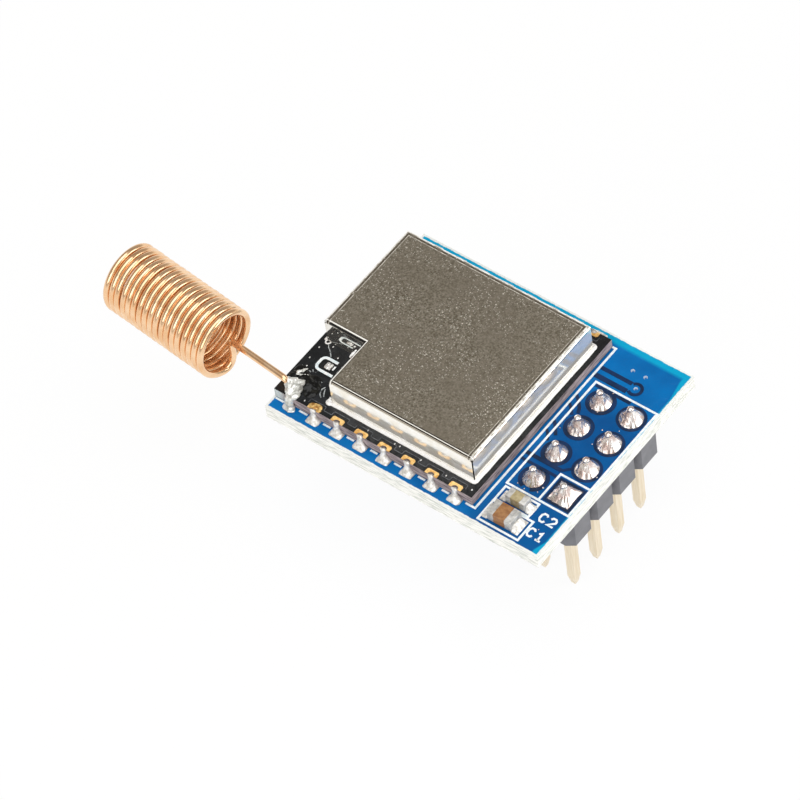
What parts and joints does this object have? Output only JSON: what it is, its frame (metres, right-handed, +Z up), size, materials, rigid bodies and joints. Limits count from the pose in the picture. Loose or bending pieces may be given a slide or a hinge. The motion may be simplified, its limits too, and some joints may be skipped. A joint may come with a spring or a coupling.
{
  "type": "long range radio module",
  "caption": "Small shielded radio board soldered on a carrier board, with a close-wound wire antenna at one end and a two-row pin header under the other.",
  "frame": {"origin": "middle of the pin header, on the underside of its plastic housing, which seats on the mating socket", "axes": "+X from the antenna to the header end of the carrier board, +Y across the board, +Z up out of the board's component side, pins pointing down"},
  "size_m": [0.0376, 0.0187, 0.014],
  "materials": {
    "blue_solder_mask": "blue solder mask over copper on glass-fibre board",
    "black_solder_mask": "black solder mask on glass-fibre board",
    "header_plastic": "moulded dark grey plastic",
    "pin_plating": "pale gold flash on brass",
    "solder": "reflowed and hand-made solder",
    "shield_sheet": "folded nickel silver sheet",
    "copper_wire": "bare copper wire",
    "orange_tan_ceramic": "chip capacitor ceramic with tinned ends",
    "pale_tan_ceramic": "chip capacitor ceramic with tinned ends",
    "chip_plastic": "moulded chip package",
    "crystal_lid": "metal lid on a ceramic base",
    "part_ceramic": "small chip part with tinned ends"
  },
  "bodies": {
    "root": {"carrier_board": "blue_solder_mask", "header_housing": "header_plastic", "header_pin_1": "pin_plating", "header_pin_2": "pin_plating", "header_pin_3": "pin_plating", "header_pin_4": "pin_plating", "header_pin_5": "pin_plating", "header_pin_6": "pin_plating", "header_pin_7": "pin_plating", "header_pin_8": "pin_plating", "header_solder_1": "solder", "header_solder_2": "solder", "header_solder_3": "solder", "header_solder_4": "solder", "header_solder_5": "solder", "header_solder_6": "solder", "header_solder_7": "solder", "header_solder_8": "solder", "module_board": "black_solder_mask", "edge_solder_near_2": "solder", "edge_solder_near_3": "solder", "edge_solder_near_4": "solder", "edge_solder_near_5": "solder", "edge_solder_near_6": "solder", "edge_solder_near_7": "solder", "edge_solder_near_8": "solder", "edge_solder_far_1": "solder", "edge_solder_far_2": "solder", "edge_solder_far_3": "solder", "edge_solder_far_4": "solder", "edge_solder_far_5": "solder", "edge_solder_far_6": "solder", "edge_solder_far_7": "solder", "edge_solder_far_8": "solder", "shield_can": "shield_sheet", "shield_seam_solder": "solder", "antenna_coil": "copper_wire", "antenna_solder": "solder", "capacitor_c1": "orange_tan_ceramic", "capacitor_c1_solder_left": "solder", "capacitor_c1_solder_right": "solder", "capacitor_c2": "pale_tan_ceramic", "capacitor_c2_solder_left": "solder", "capacitor_c2_solder_right": "solder", "transceiver_chip": "chip_plastic", "antenna_switch_chip": "chip_plastic", "crystal": "crystal_lid", "matching_inductor_1": "part_ceramic", "matching_inductor_2": "part_ceramic", "matching_inductor_3": "part_ceramic", "bypass_capacitor_1": "part_ceramic", "bypass_capacitor_2": "part_ceramic", "bypass_capacitor_3": "part_ceramic", "bypass_capacitor_4": "part_ceramic"}
  },
  "joints": []
}
